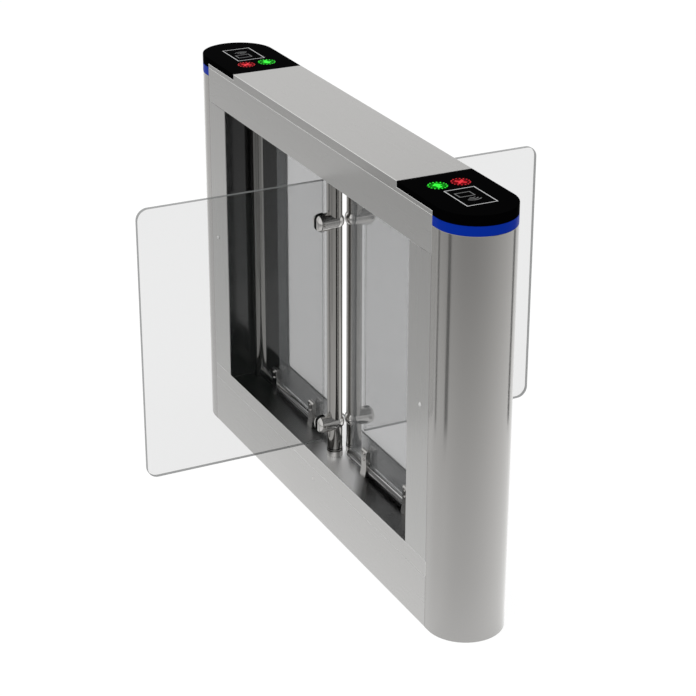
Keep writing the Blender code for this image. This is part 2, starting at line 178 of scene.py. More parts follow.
def object_axis(tree, axis):
    """One coordinate of the piece, in metres."""
    place = add_node(tree, "ShaderNodeTexCoord")
    parts = add_node(tree, "ShaderNodeSeparateXYZ")
    wire(tree, place.outputs["Object"], parts.inputs["Vector"])
    return parts.outputs[axis]


def distance_from(tree, centre, scale=(1.0, 1.0, 0.0)):
    """The distance from an upright line through the centre, on Object coordinates."""
    place = add_node(tree, "ShaderNodeTexCoord")
    centred = add_node(tree, "ShaderNodeMapping")
    centred.inputs["Location"].default_value = tuple(-c * s for c, s in zip(centre, scale))
    centred.inputs["Scale"].default_value = scale
    away = add_node(tree, "ShaderNodeVectorMath", operation="LENGTH")
    wire(tree, place.outputs["Object"], centred.inputs["Vector"])
    wire(tree, centred.outputs["Vector"], away.inputs[0])
    return away.outputs["Value"]


def bump(tree, shader, height, strength, distance):
    made = add_node(tree, "ShaderNodeBump")
    made.inputs["Strength"].default_value = strength
    made.inputs["Distance"].default_value = distance
    wire(tree, height, made.inputs["Height"])
    wire(tree, made.outputs["Normal"], shader.inputs["Normal"])


def new_finish(name):
    """A new material, its node tree and its main shader."""
    made = bpy.data.materials.new(name)
    made.use_nodes = True
    return made, made.node_tree, made.node_tree.nodes["Principled BSDF"]


# %% [markdown]
# ## Brushed steel
#
# The case is stainless sheet with a fine brushed grain. A flat grey with a low roughness looks like plastic, so the
# colour, the roughness and a very shallow bump all follow the same squeezed noise. The sheets also look a little
# brighter near the ground, where they mirror more of the pale floor, and the colour paints that reflection in: the
# tone is lighter low on the case and darker towards its top.

# %% Brushed steel


def brushed_steel(name, painted_reflection_low_tone, painted_reflection_high_tone, grain, roughness=0.30, depth=0.07):
    """Steel with a grain. Its tone runs from the ground to the top of the case, lighter low down: a painted reflection
    of the floor.
    """
    made, tree, shader = new_finish(name)
    streaks = noise_chain(tree, grain)
    height = span(tree, object_axis(tree, "Z"), 0.0, 1.0, 0.0, 1.0)
    wire(tree, shaded(tree, blended(tree, height, painted_reflection_low_tone, painted_reflection_high_tone), streaks, depth), shader.inputs["Base Color"])
    wire(tree, span(tree, streaks, 0.2, 0.8, roughness - 0.05, roughness + 0.06), shader.inputs["Roughness"])
    shader.inputs["Metallic"].default_value = 1.0
    bump(tree, shader, streaks, 0.10, 0.0002)
    return made


LENGTHWISE = (6.0, 900.0, 900.0)
UPRIGHT = (900.0, 900.0, 6.0)
FINE = (60.0, 60.0, 60.0)
# Where a steel's two tones differ, its lighter low tone is a painted reflection of the pale floor.
lid_steel = brushed_steel("lid_steel", (0.445, 0.44, 0.43), (0.445, 0.44, 0.43), LENGTHWISE)
sheet_steel = brushed_steel("sheet_steel", (0.545, 0.54, 0.53), (0.51, 0.505, 0.495), LENGTHWISE)
post_steel = brushed_steel("post_steel", (0.53, 0.53, 0.52), (0.48, 0.475, 0.465), UPRIGHT)
column_steel = brushed_steel("column_steel", (0.45, 0.445, 0.435), (0.435, 0.425, 0.41), UPRIGHT, 0.15, 0.04)
hidden_steel = brushed_steel("plain_steel_plate", (0.36, 0.36, 0.36), (0.36, 0.36, 0.36), FINE, 0.45)
# The bevels' steel is much brighter than the sheets: a painted highlight along every fold and seam.
edge_steel_painted_highlight = brushed_steel("steel_edge_painted_highlight", (0.80, 0.80, 0.79), (0.78, 0.78, 0.77), FINE, 0.22)

# %% [markdown]
# ## Polished metal, lined window and plastics
#
# Shafts, clamps, rails and clips are polished until they work as mirrors. Their roughness is low but not zero, and
# slow noise in it stands for the faint smears of handling. The window is lined with dark polished sheet. The covers
# are black acrylic with almost no shine of their own.

# %% Polished metal and plastics


def polished_metal(name, tone, roughness, smear=14.0):
    made, tree, shader = new_finish(name)
    clouds = noise_chain(tree, (smear, smear, smear), 4.0)
    darker = tuple(0.94 * part for part in tone)
    wire(tree, blended(tree, clouds, darker, tone), shader.inputs["Base Color"])
    wire(tree, span(tree, clouds, 0.3, 0.7, roughness * 0.8, roughness * 1.3), shader.inputs["Roughness"])
    shader.inputs["Metallic"].default_value = 1.0
    return made


def gloss(name, tone, roughness, level=0.5, smear=9.0):
    """A smooth dielectric such as acrylic, lacquer or rubber."""
    made, tree, shader = new_finish(name)
    clouds = noise_chain(tree, (smear, smear, smear), 4.0)
    lighter = tuple(1.25 * part for part in tone)
    wire(tree, blended(tree, clouds, tone, lighter), shader.inputs["Base Color"])
    wire(tree, span(tree, clouds, 0.3, 0.7, roughness * 0.8, roughness * 1.3), shader.inputs["Roughness"])
    shader.inputs["Specular IOR Level"].default_value = level
    return made


chrome = polished_metal("chrome", (0.55, 0.54, 0.525), 0.07)
# The shafts' and tubes' chrome is a darker copy of the clamps' chrome: painted shade for the darker surroundings that
# they mirror.
shaft_chrome_painted_shade = polished_metal("shaft_chrome_painted_shade", (0.33, 0.322, 0.308), 0.08)
tube_chrome_painted_shade = polished_metal("tube_chrome_painted_shade", (0.17, 0.168, 0.162), 0.12)
lining = gloss("dark_lining", (0.006, 0.006, 0.006), 0.10)
acrylic = gloss("black_acrylic", (0.0008, 0.0008, 0.0009), 0.05, 0.0002)
rubber = gloss("black_rubber", (0.002, 0.002, 0.002), 0.6, 0.1, 60.0)
plastic = gloss("grey_plastic_moulding", (0.055, 0.055, 0.06), 0.42, 0.5, 50.0)
motor_paint = gloss("motor_paint", (0.02, 0.02, 0.022), 0.45, 0.5, 80.0)
eye_lens = gloss("eye_lens", (0.55, 0.55, 0.54), 0.12, 0.5, 90.0)
print_ink = gloss("pale_print", (0.42, 0.42, 0.42), 0.5, 0.1, 200.0)
faint_ink = gloss("faint_print", (0.12, 0.12, 0.12), 0.5, 0.1, 200.0)

# %% [markdown]
# The sill is one sheet that changes along its length, and its colour is painted reflection and painted shade: nearly
# black at the far end, dark grey under the panes and bright in a slanting patch at the foot of the shafts, where it is
# also rougher. Colour ramps along that slant hold the painted tone and the roughness. The tube rails are polished, and
# a ramp over their height paints bright highlight lines along their top and foot, with painted dark reflection
# between.

# %% Sill and rails
SILL_SLANT = (1.0, 1.66, 0.0)
SILL_END = 0.5
# Painted reflection and painted shade along the sill: dark at the far end and under the panes, bright at the shafts'
# foot.
SILL_PAINTED_REFLECTION_TONES = (
    (-0.44, 0.015), (-0.38, 0.17), (-0.16, 0.21), (-0.10, 0.6), (-0.05, 1.0), (0.07, 1.0), (0.12, 0.14), (0.3, 0.12)
)
SILL_DULLNESS = ((-0.14, 0.34), (-0.08, 0.36), (-0.03, 0.5), (0.07, 0.6), (0.14, 0.26))
RAIL_BOTTOM, RAIL_TOP = 0.1535, 0.1775
# Painted highlights: bright lines along the rails' top and foot, with painted dark reflection between them.
RAIL_PAINTED_HIGHLIGHT_TONES = (
    (0.0, 0.05), (0.3, 0.1), (0.48, 0.12), (0.57, 0.6), (0.66, 0.6), (0.74, 0.1), (0.87, 0.12), (0.94, 0.7), (1.0, 0.7)
)


def sill_finish():
    made, tree, shader = new_finish("sill_painted_reflection")
    place = add_node(tree, "ShaderNodeTexCoord")
    slant = add_node(tree, "ShaderNodeVectorMath", operation="DOT_PRODUCT")
    slant.inputs[1].default_value = SILL_SLANT
    wire(tree, place.outputs["Object"], slant.inputs[0])
    share = span(tree, slant.outputs["Value"], -SILL_END, SILL_END, 0.0, 1.0)
    for levels, socket in ((SILL_PAINTED_REFLECTION_TONES, "Base Color"), (SILL_DULLNESS, "Roughness")):
        stops = [((at + SILL_END) / (2 * SILL_END), level) for at, level in levels]
        wire(tree, tone_ramp(tree, share, stops), shader.inputs[socket])
    shader.inputs["Metallic"].default_value = 1.0
    return made


def rail_finish():
    made, tree, shader = new_finish("rail_chrome_painted_highlights")
    share = span(tree, object_axis(tree, "Z"), RAIL_BOTTOM, RAIL_TOP, 0.0, 1.0)
    wire(tree, tone_ramp(tree, share, RAIL_PAINTED_HIGHLIGHT_TONES), shader.inputs["Base Color"])
    clouds = noise_chain(tree, (14.0, 14.0, 14.0))
    wire(tree, span(tree, clouds, 0.3, 0.7, 0.08, 0.13), shader.inputs["Roughness"])
    shader.inputs["Metallic"].default_value = 1.0
    return made


sill_painted_reflection = sill_finish()
rail_chrome_painted_highlights = rail_finish()

# %% [markdown]
# ## Glass
#
# Clear glass could refract for real, but thin flat sheets only dim what is behind them a little and add a faint
# sheen, and their cut edges look dark grey. Two materials per sheet give exactly that: a nearly transparent one for
# the big faces and a dense one for the ground edges. The fixed panes are tinted grey, so they veil much more.

# %% Glass


def sheet_glass(name, tone, veil, roughness=0.02, level=0.5):
    """Glass whose faces hold back a share of the light, called veil."""
    made, tree, shader = new_finish(name)
    clouds = noise_chain(tree, (5.0, 5.0, 5.0), 2.0)
    lighter = tuple(1.1 * part for part in tone)
    wire(tree, blended(tree, clouds, tone, lighter), shader.inputs["Base Color"])
    wire(tree, span(tree, clouds, 0.3, 0.7, roughness, roughness * 2.0), shader.inputs["Roughness"])
    shader.inputs["Alpha"].default_value = veil
    shader.inputs["Specular IOR Level"].default_value = level
    return made


leaf_face = sheet_glass("leaf_face_glass", (0.04, 0.045, 0.042), 0.108)
leaf_edge = sheet_glass("leaf_edge_glass", (0.085, 0.09, 0.088), 0.72, 0.2, 0.3)
pane_face = sheet_glass("pane_face_glass", (0.19, 0.193, 0.194), 0.425, 0.05, 0.25)
pane_edge = sheet_glass("pane_edge_glass", (0.26, 0.27, 0.27), 0.45, 0.2, 0.2)

# %% [markdown]
# ## Lights in the covers
#
# The band and the lamps glow by themselves. Their colour is emitted mostly and reflected a little, so they keep
# their depth of colour in bright light. The lamps are dark discs on which a symbol glows, with a soft halo that
# fades out from the middle of each disc, so that pattern is centred on each lamp with a Mapping node.

# %% Glowing finishes
HALO_CORE = 0.005
HALO_RIM = 0.022
HALO_GLOW = 0.45
HALO_FAINT = 0.012


def glowing(name, colour, strength, roughness=0.3):
    made, tree, shader = new_finish(name)
    clouds = noise_chain(tree, (12.0, 12.0, 12.0), 2.0)
    darker = tuple(0.9 * part for part in colour)
    wire(tree, blended(tree, clouds, darker, colour), shader.inputs["Base Color"])
    shader.inputs["Roughness"].default_value = roughness
    shader.inputs["Specular IOR Level"].default_value = 0.02
    shader.inputs["Emission Color"].default_value = (*colour, 1.0)
    shader.inputs["Emission Strength"].default_value = strength
    return made


def lamp_disc(name, colour, centre):
    """A dark lamp window with a halo that fades from its centre to its rim."""
    made, tree, shader = new_finish(name)
    fade = span(tree, distance_from(tree, centre), HALO_CORE, HALO_RIM, 1.0, 0.0)
    faint, glow = (tuple(share * part for part in colour) for share in (HALO_FAINT, HALO_GLOW))
    halo = blended(tree, fade, faint, glow)
    wire(tree, halo, shader.inputs["Base Color"])
    wire(tree, halo, shader.inputs["Emission Color"])
    shader.inputs["Emission Strength"].default_value = 0.8
    shader.inputs["Roughness"].default_value = 0.1
    shader.inputs["Specular IOR Level"].default_value = 0.001
    return made


BLUE = (0.0009, 0.0135, 0.175)
GREEN = (0.010, 0.50, 0.014)
RED = (0.36, 0.003, 0.010)
blue_band = glowing("blue_band", BLUE, 0.75)
green_symbol = glowing("green_symbol", GREEN, 1.35)
red_symbol = glowing("red_symbol", RED, 1.25)

# %% [markdown]
# ## Softened copies of the solids
#
# A CAD edge is perfectly sharp and never shines. A real sheet is folded and ground, and its edges draw thin bright
# lines in every photograph. So each solid whose edges show is copied, its loose triangles are merged and cleaned,
# and a bevel runs along every sharp edge. The faces that the bevel makes can take a brighter steel, a painted
# highlight on top of the light that the rounded bevel catches itself. A Weighted Normal modifier keeps the big faces
# flat, so that the bevels alone bend the light.

# %% Helpers for pieces
MERGE = 2e-6
CLEANING_ANGLE = math.radians(1.0)
FOLD_ANGLE = math.radians(40.0)


def make_piece(name, bm, finishes, body, smooth_angle=50.0, flat_faces=False):
    """Turns a bmesh into a finished piece that rides on a body."""
    mesh = bpy.data.meshes.new(name)
    bm.to_mesh(mesh)
    bm.free()
    for finish in finishes:
        mesh.materials.append(finish)
    mesh.shade_smooth()
    mesh.set_sharp_from_angle(angle=math.radians(smooth_angle))
    piece = bpy.data.objects.new(name, mesh)
    bpy.context.scene.collection.objects.link(piece)
    if flat_faces:
        weighted = piece.modifiers.new("flat faces", "WEIGHTED_NORMAL")
        weighted.keep_sharp = True
    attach(piece, body)
    return piece


def body_of(node):
    return solids[node]["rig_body"]


def bevelled(bm, edges, width, segments=3):
    """Rounds the given edges and returns the new faces."""
    return bmesh.ops.bevel(
        bm,
        geom=edges,
        offset=width,
        offset_type="OFFSET",
        segments=segments,
        profile=0.5,
        affect="EDGES",
        clamp_overlap=True,
        material=-1,
    )["faces"]


def softened(node, finish, width, painted_highlight_finish=None):
    """A copy of a solid with every sharp edge rounded."""
    bm = bmesh.new()
    bm.from_mesh(solids[node].data)
    bmesh.ops.remove_doubles(bm, verts=bm.verts, dist=MERGE)
    bmesh.ops.dissolve_limit(bm, angle_limit=CLEANING_ANGLE, verts=bm.verts, edges=bm.edges)
    sharp = [e for e in bm.edges if len(e.link_faces) == 2 and e.calc_face_angle() > FOLD_ANGLE]
    for face in bm.faces:
        face.material_index = 0
    for face in bevelled(bm, sharp, width):
        face.material_index = 1 if painted_highlight_finish else 0
    finishes = [finish, painted_highlight_finish] if painted_highlight_finish else [finish]
    piece = make_piece(node + "_soft", bm, finishes, body_of(node), flat_faces=True)
    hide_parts(node)
    return piece


# %% Sheets of the case
SHEET_EDGE = 0.0008
LID_EDGE = 0.0018
COLUMN_EDGE = 0.0007
COVER_EDGE = 0.0015
BAND_EDGE = 0.0005
softened("top_lid", lid_steel, LID_EDGE, edge_steel_painted_highlight)
for side in SIDES:
    for sheet in ("fascia", "sill_strip", "kick_panel"):
        softened(f"{side}_{sheet}", sheet_steel, SHEET_EDGE, edge_steel_painted_highlight)
    for end in ENDS:
        softened(f"{side}_post_{end}", post_steel, SHEET_EDGE, edge_steel_painted_highlight)
for end in ENDS:
    softened(f"column_{end}", column_steel, COLUMN_EDGE)
    softened(f"display_cover_{end}", acrylic, COVER_EDGE)
    softened(f"light_band_{end}", blue_band, BAND_EDGE)
print("softened the case")

# %% [markdown]
# Behind the long seam under each strip lies the folded flange that the kick panel rests against. It closes the seam
# just below the surface in the bright edge steel, a painted highlight, so the joint reads as a fine bright line and
# not as a black slot.

# %% Flanges in the seams
FLANGE_DEPTH = 0.0007
FLANGE_SHARE = 0.8  # of the seam's height
for side in SIDES:
    out = -1 if side == "front" else 1
    strip_low, strip_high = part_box(f"{side}_sill_strip")
    kick_low, kick_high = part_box(f"{side}_kick_panel")
    face = strip_low.y if side == "front" else strip_high.y
    gap = strip_low.z - kick_high.z
    bm = bmesh.new()
    bmesh.ops.create_cube(bm, size=1.0)
    bmesh.ops.scale(bm, vec=(kick_high.x - kick_low.x, FLANGE_DEPTH, gap * FLANGE_SHARE), verts=bm.verts)
    place = (0, face - out * FLANGE_DEPTH, (strip_low.z + kick_high.z) / 2)
    bmesh.ops.translate(bm, vec=place, verts=bm.verts)
    make_piece(f"seam_flange_{side}", bm, [edge_steel_painted_highlight], "case")
    print(side, "seam", round(gap * 1000, 2), "mm")

# %% [markdown]
# The shafts, tubes, rails, clips and clamps are round already. They only need the small radius at each shoulder that
# a lathe or a buffing wheel leaves.

# %% Polished pieces
ROUND_EDGE = 0.0003
HOLDER_EDGE = 0.0006
for side in SIDES:
    softened(f"shaft_{side}", shaft_chrome_painted_shade, ROUND_EDGE)
    for level in LEVELS:
        softened(f"clamp_{side}_{level}", chrome, HOLDER_EDGE)
for end in ENDS:
    softened(f"wall_tube_{end}", tube_chrome_painted_shade, ROUND_EDGE)
    softened(f"pane_rail_{end}", rail_chrome_painted_highlights, ROUND_EDGE)
    for place in ("inner", "outer"):
        softened(f"pane_clip_{end}_{place}", chrome, HOLDER_EDGE)

# %% [markdown]
# The solids that stay as they are get their finish in their own material slots.

# %% Finishes of the other solids
plain = {
    "base_plate": hidden_steel,
    "window_sill": sill_painted_reflection,
    "window_header": lining,
    "window_wall_near": lining,
    "window_wall_far": lining,
    "drive_frame": hidden_steel,
    "lower_bearing_block": hidden_steel,
    "upper_bearing_block": hidden_steel,
    "motor_front": motor_paint,
    "motor_back": motor_paint,
    "control_box": plastic,
    "power_supply": plastic,
    "card_reader_near": plastic,
    "card_reader_far": plastic,
    "front_panel_lock": chrome,
    "back_panel_lock": chrome,
}
for side in SIDES:
    for end in ENDS:
        plain[f"sensor_eye_{side}_{end}"] = eye_lens
for end in ENDS:
    for kind, colour in (("go_lamp", GREEN), ("stop_lamp", RED)):
        node = f"{kind}_{end}"
        low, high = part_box(node)
        plain[node] = lamp_disc(node + "_disc", colour, (low + high) / 2)
for node, finish in plain.items():
    solids[node].data.materials.clear()
    solids[node].data.materials.append(finish)
print("finished", len(plain), "solids as they are")

# %% [markdown]
# ## The glass sheets
#
# A sheet of glass starts from a cube scaled to its size. The upright edges at a leaf's outer end get the big radius
# first, and then every rim edge gets the narrow ground facet, which is where the second material goes. The faces
# are told apart by their direction: a big face looks straight along the sheet's thin axis. The polished edge beside
# the shafts stays as clear as the faces.

# %% Leaves and panes
LEAF_CORNER = 0.028
GROUND_EDGE = 0.0008
ALONG = 0.9  # least share of a direction that counts as along it


def glass_sheet(node, thin_axis, toward_shaft, finishes, corner=0.0):
    low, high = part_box(node)
    size, centre = high - low, (low + high) / 2
    bm = bmesh.new()
    bmesh.ops.create_cube(bm, size=1.0)
    bmesh.ops.scale(bm, vec=size, verts=bm.verts)
    bmesh.ops.translate(bm, vec=centre, verts=bm.verts)
    if corner:
        ends = [
            e
            for e in bm.edges
            if abs((e.verts[0].co - e.verts[1].co).normalized()[thin_axis]) > ALONG
            and all((v.co - centre).dot(toward_shaft) < 0 for v in e.verts)
        ]
        bevelled(bm, ends, corner, 12)
    rim = [e for e in bm.edges if sum(abs(f.normal[thin_axis]) > ALONG for f in e.link_faces) == 1]
    bevelled(bm, rim, GROUND_EDGE, 1)
    bm.normal_update()
    for face in bm.faces:
        hidden = face.normal.dot(toward_shaft) > ALONG
        face.material_index = 0 if hidden or abs(face.normal[thin_axis]) > ALONG else 1
    piece = make_piece(node + "_glass", bm, finishes, body_of(node), 35.0)
    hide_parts(node)
    return piece


glass_sheet("leaf_front", 0, Vector((0, 1, 0)), [leaf_face, leaf_edge], LEAF_CORNER)
glass_sheet("leaf_back", 0, Vector((0, -1, 0)), [leaf_face, leaf_edge], LEAF_CORNER)
glass_sheet("pane_near", 1, Vector((-1, 0, 0)), [pane_face, pane_edge])
glass_sheet("pane_far", 1, Vector((1, 0, 0)), [pane_face, pane_edge])

# %% [markdown]
# ## Rubber gaskets of the clamps
#
# Steel never touches glass: each clamp has a black gasket on both sides of the leaf, cut to the clamp's own outline.
# Through the glass the far gasket shows as a black crescent beside the clamp. A gasket starts from a one-face grid
# that stands upright beside the glass. Its two outer corners are rounded, and then it becomes a thin plate.

# %% Clamp gaskets
GASKET = 0.00022
GASKET_GAP = 0.00003
GASKET_MARGIN = 0.0006  # beyond the clamp
CLAMP_ROUND = 0.016


def gasket(side, level):
    low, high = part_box(f"clamp_{side}_{level}")
    leaf_low, leaf_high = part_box(f"leaf_{side}")
    out = -1 if side == "front" else 1
    outer = (low.y if side == "front" else high.y) + out * GASKET_MARGIN
    inner = leaf_high.y if side == "front" else leaf_low.y
    half_height = (high.z - low.z) / 2 + GASKET_MARGIN
    bm = bmesh.new()
    for sign in (1, -1):
        place = (sign * (leaf_high.x + GASKET_GAP), (inner + outer) / 2, (low.z + high.z) / 2)
        size = Matrix.Diagonal((half_height, abs(outer - inner) / 2, 1.0, 1.0))
        upright = Matrix.Translation(place) @ Matrix.Rotation(sign * math.pi / 2, 4, "Y") @ size
        bmesh.ops.create_grid(bm, x_segments=1, y_segments=1, size=1.0, matrix=upright)
    rounded = [v for v in bm.verts if abs(v.co.y - outer) < MERGE]
    bmesh.ops.bevel(bm, geom=rounded, offset=CLAMP_ROUND, segments=8, profile=0.5, affect="VERTICES", material=-1)
    raised = bmesh.ops.extrude_face_region(bm, geom=bm.faces[:])["geom"]
    for item in raised:
        if isinstance(item, bmesh.types.BMVert):
            item.co.x += math.copysign(GASKET, item.co.x)
    bmesh.ops.recalc_face_normals(bm, faces=bm.faces)
    return make_piece(f"clamp_gasket_{side}_{level}", bm, [rubber], f"{side}_leaf")


for side in SIDES:
    for level in LEVELS:
        gasket(side, level)

# %% [markdown]
# ## Foot sleeves of the shafts
#
# Each shaft wears a short bright sleeve at its foot, with two black sealing rings above it. All of them are rings
# made by one function: the outline of a ring's section is turned about the shaft's axis with the spin operator.

# %% Sleeves and rings
SLEEVE_HEIGHT = 0.014
SLEEVE_WALL = 0.0008
RING_HEIGHT = 0.0018
RING_SPACE = 0.0050
RING_WALL = 0.0005
SHAFT_CLEARANCE = 0.00005
SLEEVE_LIFT = 0.0003
SLEEVE_GAP = 0.0002


def add_ring(bm, axis, bottom, height, inner, wall):
    """Adds a ring with a rectangular section about an upright axis."""
    section = [(inner, 0), (inner + wall, 0), (inner + wall, height), (inner, height)]
    corners = [bm.verts.new((axis[0] + r, axis[1], bottom + z)) for r, z in section]
    edges = [bm.edges.new((corners[i - 1], corners[i])) for i in range(4)]
    bmesh.ops.spin(
        bm,
        geom=corners + edges,
        cent=(axis[0], axis[1], 0),
        axis=(0, 0, 1),
        angle=math.tau,
        steps=48,
        use_merge=True,
    )
    bmesh.ops.remove_doubles(bm, verts=bm.verts, dist=MERGE)


for side in SIDES:
    low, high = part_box(f"shaft_{side}")
    axis = ((low.x + high.x) / 2, (low.y + high.y) / 2)
    inner = (high.x - low.x) / 2 + SHAFT_CLEARANCE
    sill_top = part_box("window_sill")[1].z + SLEEVE_LIFT
    ring_base = sill_top + SLEEVE_HEIGHT + SLEEVE_GAP
    for name, finish, slot, starts, height, wall in (
        ("sleeve", chrome, "polished_steel", [sill_top], SLEEVE_HEIGHT, SLEEVE_WALL),
        ("rings", rubber, "motor_black", [ring_base, ring_base + RING_SPACE], RING_HEIGHT, RING_WALL),
    ):
        bm = bmesh.new()
        for start in starts:
            add_ring(bm, axis, start, height, inner, wall)
        bmesh.ops.recalc_face_normals(bm, faces=bm.faces)
        make_piece(f"shaft_{name}_{side}", bm, [finish], f"{side}_leaf", 35.0)

# %% [markdown]
# ## Screws and bolts
#
# A cap screw is a short disc with a socket. The disc comes from the cone operator with equal radii, its rim is
# bevelled, and the socket is an inset of the top face that is pushed down. Each screw is made upright on its own
# and then joined to its piece, turned towards the direction that it faces.

# %% Screw helper


def add_screw(bm, place, direction, radius, height, rim, socket):
    """Adds a cap screw whose head stands on a place and faces a direction."""
    head = bmesh.new()
    bmesh.ops.create_cone(head, cap_ends=True, segments=24, radius1=radius, radius2=radius, depth=height)
    bmesh.ops.translate(head, vec=(0, 0, height / 2), verts=head.verts)
    bevelled(head, [e for e in head.edges if all(v.co.z > height / 2 for v in e.verts)], rim)
    if socket:
        head.normal_update()
        cap = max((f for f in head.faces if f.normal.z > 0.99), key=lambda f: f.calc_area())
        bmesh.ops.inset_individual(head, faces=[cap], thickness=radius - rim - socket)
        bmesh.ops.translate(head, vec=(0, 0, -0.6 * height), verts=cap.verts)
    around = Vector((0, 0, 1)).rotation_difference(Vector(direction)).to_matrix().to_4x4()
    bmesh.ops.transform(head, matrix=Matrix.Translation(place) @ around, verts=head.verts)
    joined = bpy.data.meshes.new("screw")
    head.to_mesh(joined)
    head.free()
    bm.from_mesh(joined)
    bpy.data.meshes.remove(joined)


# %% [markdown]
# A cap screw on each side draws the clamp together through the leaf. The clamp is round, so each head stands just
# proud of its widest line.

# %% Clamp screws
CLAMP_SCREW = 0.036  # from the shaft's axis
CLAMP_SCREW_RADIUS = 0.0042
CLAMP_SCREW_HEIGHT = 0.0022
CLAMP_SCREW_RIM = 0.0005
CLAMP_SCREW_SOCKET = 0.0020
CLAMP_SCREW_SINK = 0.0010
for side in SIDES:
    out = -1 if side == "front" else 1
    for level in LEVELS:
        low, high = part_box(f"clamp_{side}_{level}")
        shaft_low, shaft_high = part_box(f"shaft_{side}")
        axis_y = (shaft_low.y + shaft_high.y) / 2
        middle = (low.z + high.z) / 2
        bm = bmesh.new()
        for sign in (1, -1):
            place = (sign * (high.x - CLAMP_SCREW_SINK), axis_y + out * CLAMP_SCREW, middle)
            sizes = (CLAMP_SCREW_RADIUS, CLAMP_SCREW_HEIGHT, CLAMP_SCREW_RIM, CLAMP_SCREW_SOCKET)
            add_screw(bm, place, (sign, 0, 0), *sizes)
        make_piece(f"clamp_screws_{side}_{level}", bm, [shaft_chrome_painted_shade], f"{side}_leaf")

# %% [markdown]
# Each pane clip is held by two bolts with domed heads, one above the other on both cheeks.

# %% Clip bolts
CHEEK = 0.0152  # from the middle of the pane to the outside of a cheek
BOLT_RADIUS = 0.0038
BOLT_HEIGHT = 0.0030
BOLT_DOME = 0.0016
BOLT_DROPS = (0.010, 0.026)  # from the top of a clip
for end in ENDS:
    for place in ("inner", "outer"):
        low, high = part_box(f"pane_clip_{end}_{place}")
        middle = (low.x + high.x) / 2
        bm = bmesh.new()
        for drop in BOLT_DROPS:
            for sign in (1, -1):
                place_on_cheek = (middle, sign * CHEEK, high.z - drop)
                add_screw(bm, place_on_cheek, (0, sign, 0), BOLT_RADIUS, BOLT_HEIGHT, BOLT_DOME, 0.0)
        make_piece(f"clip_bolts_{end}_{place}", bm, [chrome], "case")

# %% [markdown]
# ## Lamp symbols and reader fields
#
# The lamps show a green arrow and a red cross, each within a ring of small dots. The marks are very thin plates, as
# a print on the cover would be: an arrow is one outline of seven points and a cross one of twelve. The reader field
# is a plain frame with a card and the waves that stand for contactless reading, which is generic.

# %% Marks on the covers
PRINT = 0.00007
PRINT_GAP = 0.00001
ARROW = [(-1.0, 0.0), (-0.1, 0.85), (-0.1, 0.36), (0.95, 0.36), (0.95, -0.36), (-0.1, -0.36), (-0.1, -0.85)]
ARROW_SIZE = 0.0142
CROSS_REACH = 0.0135
CROSS_HALF_WIDTH = 0.0031
DOT_COUNT = 16
DOT_RING = 0.0205
DOT_RADIUS = 0.0019


def raise_faces(bm, faces, base):
    """Turns flat faces into thin plates that stand on a base height."""
    for vert in bm.verts:
        vert.co.z = base + PRINT_GAP
    raised = bmesh.ops.extrude_face_region(bm, geom=faces)["geom"]
    for item in raised:
        if isinstance(item, bmesh.types.BMVert):
            item.co.z += PRINT
    bmesh.ops.recalc_face_normals(bm, faces=bm.faces)


def outline_face(bm, centre, points):
    return bm.faces.new([bm.verts.new((centre[0] + x, centre[1] + y, 0)) for x, y in points])


def cross_points(reach, half):
    """The twelve corners of an upright plus, turned by an eighth."""
    points = []
    for step in range(4):
        turned = Matrix.Rotation(math.pi / 4 - step * math.pi / 2, 2)
        points += [turned @ Vector(corner) for corner in ((half, half), (reach, half), (reach, -half))]
    return points


def lamp_marks(node, finish, arrow_way):
    low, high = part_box(node)
    centre = (low + high) / 2
    bm = bmesh.new()
    if arrow_way:
        points = [(-arrow_way * ARROW_SIZE * x, ARROW_SIZE * y) for x, y in ARROW]
    else:
        points = cross_points(CROSS_REACH, CROSS_HALF_WIDTH)
    faces = [outline_face(bm, centre, points)]
    for step in range(DOT_COUNT):
        angle = math.tau * step / DOT_COUNT
        dot = bmesh.ops.create_circle(bm, cap_ends=True, segments=10, radius=DOT_RADIUS)["verts"]
        offset = (centre.x + DOT_RING * math.cos(angle), centre.y + DOT_RING * math.sin(angle), 0)
        bmesh.ops.translate(bm, vec=offset, verts=dot)
        faces.append(dot[0].link_faces[0])
    raise_faces(bm, faces, high.z)
    make_piece(f"{node}_marks", bm, [finish], "lid", 30.0)


for end in ENDS:
    lamp_marks(f"go_lamp_{end}", green_symbol, -1 if end == "near" else 1)
    lamp_marks(f"stop_lamp_{end}", red_symbol, 0)

# %% Reader fields
FIELD_CENTRE = (0.5928, 0.0026)
FIELD_HALF = (0.0515, 0.0372)
FIELD_LINE = 0.0026
CARD_SHIFT = (-0.015, -0.006)
CARD_HALF = (0.013, 0.019)
CARD_LINE = 0.0026
WAVE_RADII = (0.009, 0.016, 0.023)
WAVE_HALF_ANGLE = 45.0


def frame_faces(bm, centre, half, line):
    """A flat frame: a rectangle with its middle taken out."""
    made = bmesh.ops.create_grid(bm, x_segments=1, y_segments=1, size=1.0)["verts"]
    bmesh.ops.scale(bm, vec=(half[0], half[1], 1.0), verts=made)
    bmesh.ops.translate(bm, vec=(centre[0], centre[1], 0), verts=made)
    bm.normal_update()
    plate = made[0].link_faces[0]
    ring = list(bmesh.ops.inset_individual(bm, faces=[plate], thickness=line, use_even_offset=True)["faces"])
    bmesh.ops.delete(bm, geom=[plate], context="FACES_ONLY")
    return ring


